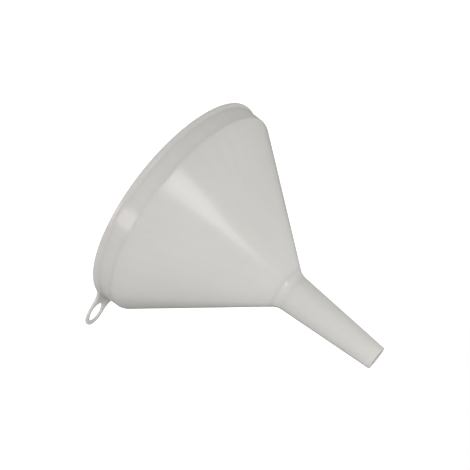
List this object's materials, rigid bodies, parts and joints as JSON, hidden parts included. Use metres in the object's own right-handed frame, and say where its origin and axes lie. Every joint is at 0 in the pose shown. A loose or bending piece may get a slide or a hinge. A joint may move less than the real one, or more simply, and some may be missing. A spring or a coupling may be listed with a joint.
{
  "type": "kitchen funnel",
  "caption": "Translucent plastic funnel with a wide conical bowl, a short upright collar, a narrow tapered spout and a flat hanging loop at the rim.",
  "frame": {"origin": "centre of the rim plane, where the mouth rests on a table", "axes": "+Z along the funnel's axis from the mouth to the open end of the spout, +X out through the hanging loop"},
  "size_m": [0.17, 0.15, 0.158],
  "materials": {
    "natural_plastic": "satin moulded polypropylene, milky and slightly translucent"
  },
  "bodies": {
    "root": {"rim_lip": "natural_plastic", "collar": "natural_plastic", "cone": "natural_plastic", "neck": "natural_plastic", "spout": "natural_plastic", "hanging_loop": "natural_plastic"}
  },
  "joints": []
}
